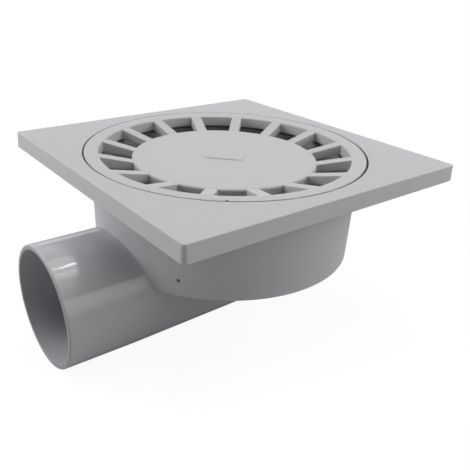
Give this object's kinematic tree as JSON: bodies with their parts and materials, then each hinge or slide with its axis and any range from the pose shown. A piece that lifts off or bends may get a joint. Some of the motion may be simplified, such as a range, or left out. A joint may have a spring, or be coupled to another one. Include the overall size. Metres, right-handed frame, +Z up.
{
  "type": "floor gully trap",
  "caption": "Square-framed floor gully trap: dished round grate over a tank with a loose bell and a horizontal side outlet.",
  "frame": {"origin": "centre of the frame's seat, the plane of the underside that beds on the floor, on the tank's axis", "axes": "+Z up through the grate, -X along the outlet pipe towards its mouth, the frame's sides along X and Y"},
  "size_m": [0.229, 0.2, 0.1125],
  "materials": {
    "body": "satin light grey PVC, with a fine leather grain on the frame's top",
    "bell": "satin light grey PVC",
    "grate": "fine matte light grey PVC"
  },
  "bodies": {
    "root": {"gully_body": "body", "bell": "bell", "grate": "grate"}
  },
  "joints": []
}
